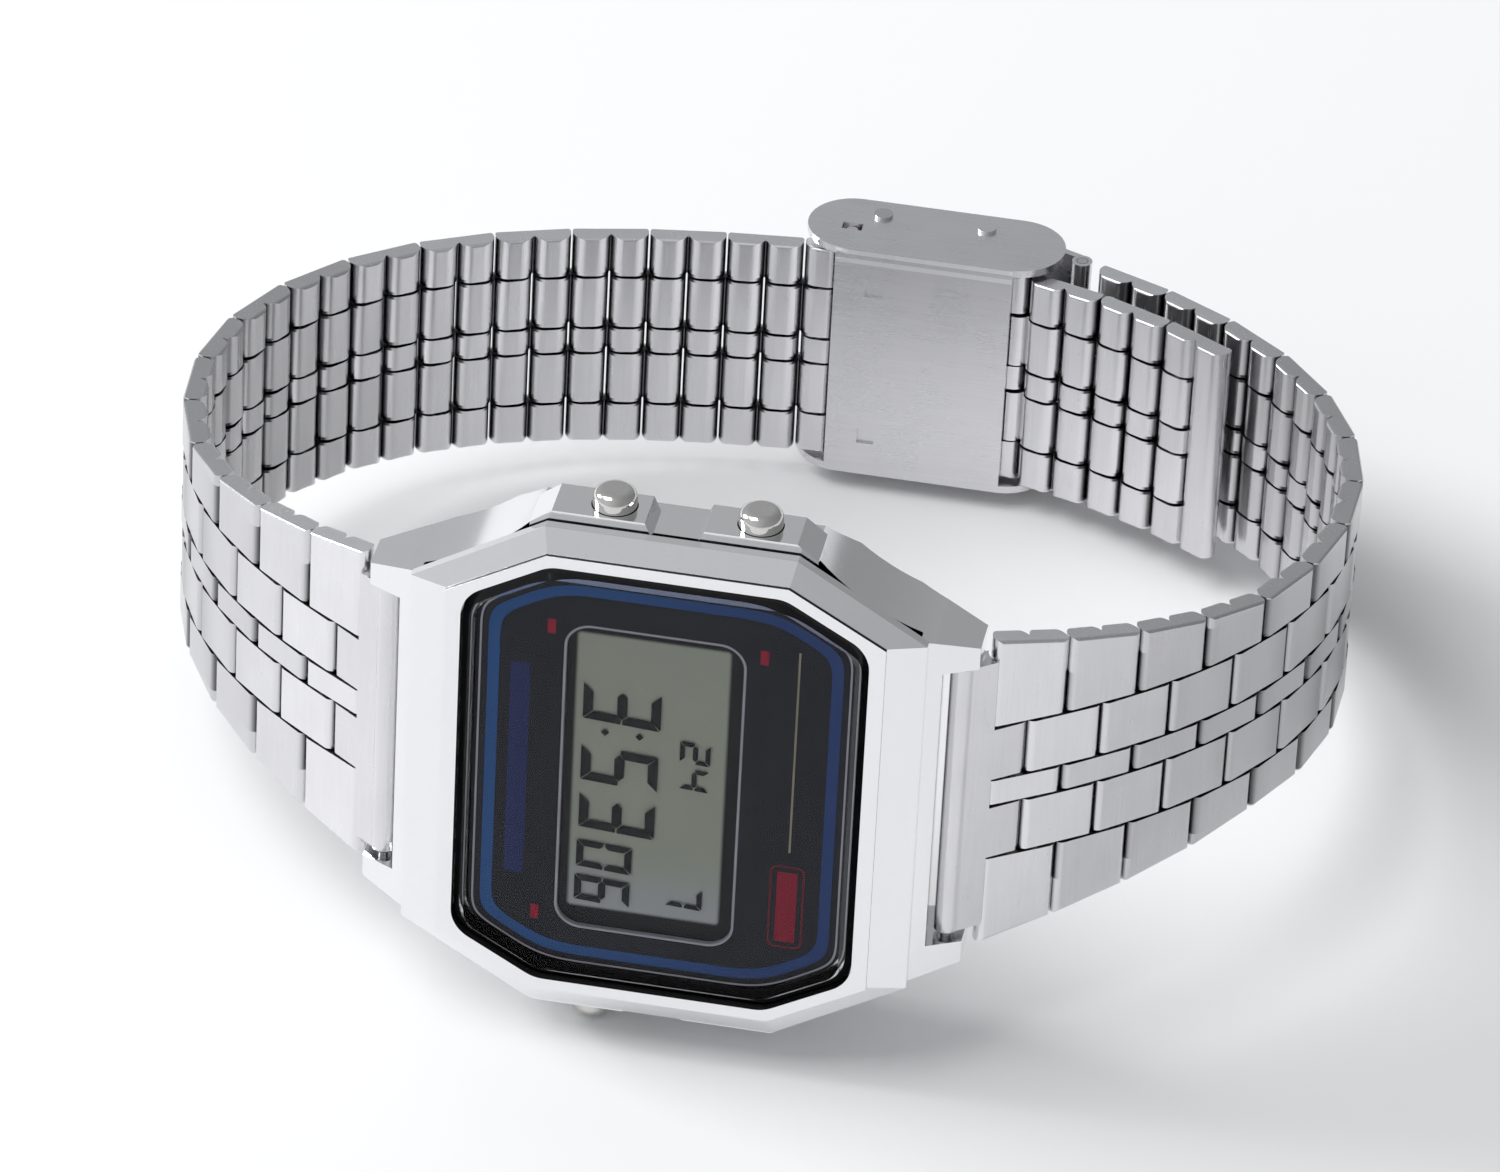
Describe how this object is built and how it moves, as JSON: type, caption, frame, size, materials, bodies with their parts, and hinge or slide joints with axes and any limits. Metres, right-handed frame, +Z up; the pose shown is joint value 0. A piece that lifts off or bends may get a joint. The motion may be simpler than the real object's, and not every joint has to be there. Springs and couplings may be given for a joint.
{
  "type": "digital wristwatch",
  "caption": "Digital watch with an octagonal bezel, side push buttons and a tapering folded-link steel bracelet, closed by a sliding clasp and lying on its side.",
  "frame": {"origin": "middle of the bounding box on the surface that the watch lies on", "axes": "+Z up; +X from six o'clock to twelve o'clock; the dial faces -Y, leaning back as the watch lies"},
  "size_m": [0.073, 0.0602, 0.0375],
  "materials": {
    "polished_steel": "polished chrome plate, satin on the case sides",
    "brushed_steel": "fine brushing across the bracelet, polished edges",
    "spring_steel": "plain rolled spring steel",
    "pin_steel": "drawn steel wire",
    "crystal": "clear acrylic with a polished bevel",
    "dial": "near-black print with a blue band and fine silver lines",
    "display": "grey-green reflective display with dark segments",
    "lamp": "translucent light guide",
    "seal_rubber": "moulded rubber",
    "black_plastic": "moulded black plastic",
    "circuit_board": "green solder mask",
    "battery": "nickel-plated can",
    "brass": "bare brass disc"
  },
  "bodies": {
    "head": {"case_shell": "polished_steel", "crystal": "crystal", "dial_plate": "dial", "lcd_panel": "display", "lamp_panel": "lamp", "contact_strips": "seal_rubber", "module_frame": "black_plastic", "circuit_board": "circuit_board", "battery": "battery", "battery_clamp": "spring_steel", "processor_chip": "black_plastic", "back_gasket": "seal_rubber", "case_back": "brushed_steel", "case_back_screws": "pin_steel", "buzzer_disc": "brass", "button_seals": "seal_rubber", "spring_bars": "pin_steel"},
    "light_button": {"light_button": "polished_steel"},
    "mode_button": {"mode_button": "polished_steel"},
    "start_button": {"start_button": "polished_steel"},
    "end_link_6": {"end_link_6": "brushed_steel"},
    "end_link_12": {"end_link_12": "brushed_steel"},
    "row_12_01": {"row_12_01": "brushed_steel"},
    "row_12_02": {"row_12_02": "brushed_steel"},
    "row_12_03": {"row_12_03": "brushed_steel"},
    "row_12_04": {"row_12_04": "brushed_steel"},
    "row_12_05": {"row_12_05": "brushed_steel"},
    "row_12_06": {"row_12_06": "brushed_steel"},
    "row_12_07": {"row_12_07": "brushed_steel"},
    "row_12_08": {"row_12_08": "brushed_steel"},
    "row_12_09": {"row_12_09": "brushed_steel"},
    "row_12_10": {"row_12_10": "brushed_steel"},
    "row_12_11": {"row_12_11": "brushed_steel"},
    "row_12_12": {"row_12_12": "brushed_steel"},
    "row_12_13": {"row_12_13": "brushed_steel"},
    "clasp_cover": {"clasp_cover": "brushed_steel", "cover_pin": "pin_steel"},
    "clasp": {"clasp_body": "brushed_steel", "clasp_rivets": "pin_steel", "captured_rows": "brushed_steel"},
    "lock_plate": {"lock_plate": "brushed_steel"},
    "row_6_01": {"row_6_01": "brushed_steel"},
    "row_6_02": {"row_6_02": "brushed_steel"},
    "row_6_03": {"row_6_03": "brushed_steel"},
    "row_6_04": {"row_6_04": "brushed_steel"},
    "row_6_05": {"row_6_05": "brushed_steel"},
    "row_6_06": {"row_6_06": "brushed_steel"},
    "row_6_07": {"row_6_07": "brushed_steel"},
    "row_6_08": {"row_6_08": "brushed_steel"},
    "row_6_09": {"row_6_09": "brushed_steel"},
    "row_6_10": {"row_6_10": "brushed_steel"},
    "row_6_11": {"row_6_11": "brushed_steel"},
    "row_6_12": {"row_6_12": "brushed_steel"},
    "row_6_13": {"row_6_13": "brushed_steel"},
    "row_6_14": {"row_6_14": "brushed_steel"},
    "row_6_15": {"row_6_15": "brushed_steel"},
    "tail_row_1": {"tail_row_1": "brushed_steel"},
    "tail_row_2": {"tail_row_2": "brushed_steel"},
    "tail_bar": {"tail_bar": "brushed_steel"}
  },
  "joints": [
    {"name": "light_press", "type": "slide", "parent": "head", "child": "light_button", "axis": [0, -0.1943, -0.9809], "range_m": [0, 0.0006], "stiffness_N_per_m": 2000},
    {"name": "mode_press", "type": "slide", "parent": "head", "child": "mode_button", "axis": [0, -0.1943, -0.9809], "range_m": [0, 0.0006], "stiffness_N_per_m": 2000},
    {"name": "start_press", "type": "slide", "parent": "head", "child": "start_button", "axis": [0, 0.1943, 0.9809], "range_m": [0, 0.0006], "stiffness_N_per_m": 2000},
    {"name": "end_link_6_hinge", "type": "hinge", "parent": "head", "child": "end_link_6", "pos_m": [-0.01863, -0.02323, 0.01864], "axis": [0, 0.1943, 0.9809], "range_deg": [0, 20]},
    {"name": "end_link_12_hinge", "type": "hinge", "parent": "head", "child": "end_link_12", "pos_m": [0.01617, -0.02323, 0.01864], "axis": [0, 0.1943, 0.9809], "range_deg": [-20, 0]},
    {"name": "row_12_01_hinge", "type": "hinge", "parent": "end_link_12", "child": "row_12_01", "pos_m": [0.01867, -0.02132, 0.01826], "axis": [0, 0.1943, 0.9809], "range_deg": [-6, 0]},
    {"name": "row_12_02_hinge", "type": "hinge", "parent": "row_12_01", "child": "row_12_02", "pos_m": [0.02271, -0.01852, 0.01771], "axis": [0, 0.1943, 0.9809], "range_deg": [-9.6, 0]},
    {"name": "row_12_03_hinge", "type": "hinge", "parent": "row_12_02", "child": "row_12_03", "pos_m": [0.02647, -0.01536, 0.01708], "axis": [0, 0.1943, 0.9809], "range_deg": [-11, 0]},
    {"name": "row_12_04_hinge", "type": "hinge", "parent": "row_12_03", "child": "row_12_04", "pos_m": [0.02984, -0.0118, 0.01638], "axis": [0, 0.1943, 0.9809], "range_deg": [-12.8, 0]},
    {"name": "row_12_05_hinge", "type": "hinge", "parent": "row_12_04", "child": "row_12_05", "pos_m": [0.03264, -0.00781, 0.01558], "axis": [0, 0.1943, 0.9809], "range_deg": [-14.8, 0]},
    {"name": "row_12_06_hinge", "type": "hinge", "parent": "row_12_05", "child": "row_12_06", "pos_m": [0.03467, -0.00339, 0.01471], "axis": [0, 0.1943, 0.9809], "range_deg": [-16.7, 0]},
    {"name": "row_12_07_hinge", "type": "hinge", "parent": "row_12_06", "child": "row_12_07", "pos_m": [0.03569, 0.00136, 0.01377], "axis": [0, 0.1943, 0.9809], "range_deg": [-18, 0]},
    {"name": "row_12_08_hinge", "type": "hinge", "parent": "row_12_07", "child": "row_12_08", "pos_m": [0.03554, 0.0062, 0.01281], "axis": [0, 0.1943, 0.9809], "range_deg": [-18.3, 0]},
    {"name": "row_12_09_hinge", "type": "hinge", "parent": "row_12_08", "child": "row_12_09", "pos_m": [0.03418, 0.01086, 0.01189], "axis": [0, 0.1943, 0.9809], "range_deg": [-17.6, 0]},
    {"name": "row_12_10_hinge", "type": "hinge", "parent": "row_12_09", "child": "row_12_10", "pos_m": [0.03172, 0.01506, 0.01105], "axis": [0, 0.1943, 0.9809], "range_deg": [-16.1, 0]},
    {"name": "row_12_11_hinge", "type": "hinge", "parent": "row_12_10", "child": "row_12_11", "pos_m": [0.02838, 0.01864, 0.01034], "axis": [0, 0.1943, 0.9809], "range_deg": [-14.1, 0]},
    {"name": "row_12_12_hinge", "type": "hinge", "parent": "row_12_11", "child": "row_12_12", "pos_m": [0.02443, 0.02156, 0.00977], "axis": [0, 0.1943, 0.9809], "range_deg": [-12.1, 0]},
    {"name": "row_12_13_hinge", "type": "hinge", "parent": "row_12_12", "child": "row_12_13", "pos_m": [0.02008, 0.02387, 0.00931], "axis": [0, 0.1943, 0.9809], "range_deg": [-10.8, 0]},
    {"name": "clasp_cover_hinge", "type": "hinge", "parent": "row_12_13", "child": "clasp_cover", "pos_m": [0.01547, 0.02563, 0.00896], "axis": [0, 0.1943, 0.9809], "range_deg": [-10, 0]},
    {"name": "clasp_hinge", "type": "hinge", "parent": "clasp_cover", "child": "clasp", "pos_m": [0.00237, 0.02681, 0.00873], "axis": [0, 0.1943, 0.9809], "range_deg": [-105, 0]},
    {"name": "lock_hinge", "type": "hinge", "parent": "clasp", "child": "lock_plate", "pos_m": [0.00067, 0.02509, 0.00907], "axis": [0, 0.1943, 0.9809], "range_deg": [0, 12]},
    {"name": "row_6_01_hinge", "type": "hinge", "parent": "end_link_6", "child": "row_6_01", "pos_m": [-0.02113, -0.02132, 0.01826], "axis": [0, 0.1943, 0.9809], "range_deg": [0, 6]},
    {"name": "row_6_02_hinge", "type": "hinge", "parent": "row_6_01", "child": "row_6_02", "pos_m": [-0.02514, -0.01846, 0.01769], "axis": [0, 0.1943, 0.9809], "range_deg": [0, 10.6]},
    {"name": "row_6_03_hinge", "type": "hinge", "parent": "row_6_02", "child": "row_6_03", "pos_m": [-0.0288, -0.01521, 0.01705], "axis": [0, 0.1943, 0.9809], "range_deg": [0, 13.1]},
    {"name": "row_6_04_hinge", "type": "hinge", "parent": "row_6_03", "child": "row_6_04", "pos_m": [-0.03194, -0.01146, 0.01631], "axis": [0, 0.1943, 0.9809], "range_deg": [0, 15.6]},
    {"name": "row_6_05_hinge", "type": "hinge", "parent": "row_6_04", "child": "row_6_05", "pos_m": [-0.0343, -0.00719, 0.01546], "axis": [0, 0.1943, 0.9809], "range_deg": [0, 17.7]},
    {"name": "row_6_06_hinge", "type": "hinge", "parent": "row_6_05", "child": "row_6_06", "pos_m": [-0.03559, -0.00252, 0.01454], "axis": [0, 0.1943, 0.9809], "range_deg": [0, 18.9]},
    {"name": "row_6_07_hinge", "type": "hinge", "parent": "row_6_06", "child": "row_6_07", "pos_m": [-0.03565, 0.00233, 0.01358], "axis": [0, 0.1943, 0.9809], "range_deg": [0, 19.1]},
    {"name": "row_6_08_hinge", "type": "hinge", "parent": "row_6_07", "child": "row_6_08", "pos_m": [-0.03441, 0.00702, 0.01265], "axis": [0, 0.1943, 0.9809], "range_deg": [0, 18.5]},
    {"name": "row_6_09_hinge", "type": "hinge", "parent": "row_6_08", "child": "row_6_09", "pos_m": [-0.032, 0.01125, 0.01181], "axis": [0, 0.1943, 0.9809], "range_deg": [0, 17.1]},
    {"name": "row_6_10_hinge", "type": "hinge", "parent": "row_6_09", "child": "row_6_10", "pos_m": [-0.02865, 0.01481, 0.0111], "axis": [0, 0.1943, 0.9809], "range_deg": [0, 15.2]},
    {"name": "row_6_11_hinge", "type": "hinge", "parent": "row_6_10", "child": "row_6_11", "pos_m": [-0.02463, 0.01764, 0.01054], "axis": [0, 0.1943, 0.9809], "range_deg": [0, 13]},
    {"name": "row_6_12_hinge", "type": "hinge", "parent": "row_6_11", "child": "row_6_12", "pos_m": [-0.02019, 0.01978, 0.01012], "axis": [0, 0.1943, 0.9809], "range_deg": [0, 10.9]},
    {"name": "row_6_13_hinge", "type": "hinge", "parent": "row_6_12", "child": "row_6_13", "pos_m": [-0.0155, 0.02134, 0.00981], "axis": [0, 0.1943, 0.9809], "range_deg": [0, 9]},
    {"name": "row_6_14_hinge", "type": "hinge", "parent": "row_6_13", "child": "row_6_14", "pos_m": [-0.01069, 0.02245, 0.00959], "axis": [0, 0.1943, 0.9809], "range_deg": [0, 7.6]},
    {"name": "row_6_15_hinge", "type": "hinge", "parent": "clasp", "child": "row_6_15", "pos_m": [-0.00088, 0.02377, 0.00933], "axis": [0, 0.1943, 0.9809], "range_deg": [-6.8, 0]},
    {"name": "tail_row_1_hinge", "type": "hinge", "parent": "clasp", "child": "tail_row_1", "pos_m": [0.01379, 0.02286, 0.00951], "axis": [0, 0.1943, 0.9809], "range_deg": [-20, 0]},
    {"name": "tail_row_2_hinge", "type": "hinge", "parent": "tail_row_1", "child": "tail_row_2", "pos_m": [0.01847, 0.0213, 0.00982], "axis": [0, 0.1943, 0.9809], "range_deg": [-20, 0]},
    {"name": "tail_bar_hinge", "type": "hinge", "parent": "tail_row_2", "child": "tail_bar", "pos_m": [0.02294, 0.01921, 0.01023], "axis": [0, 0.1943, 0.9809], "range_deg": [-20, 0]}
  ]
}
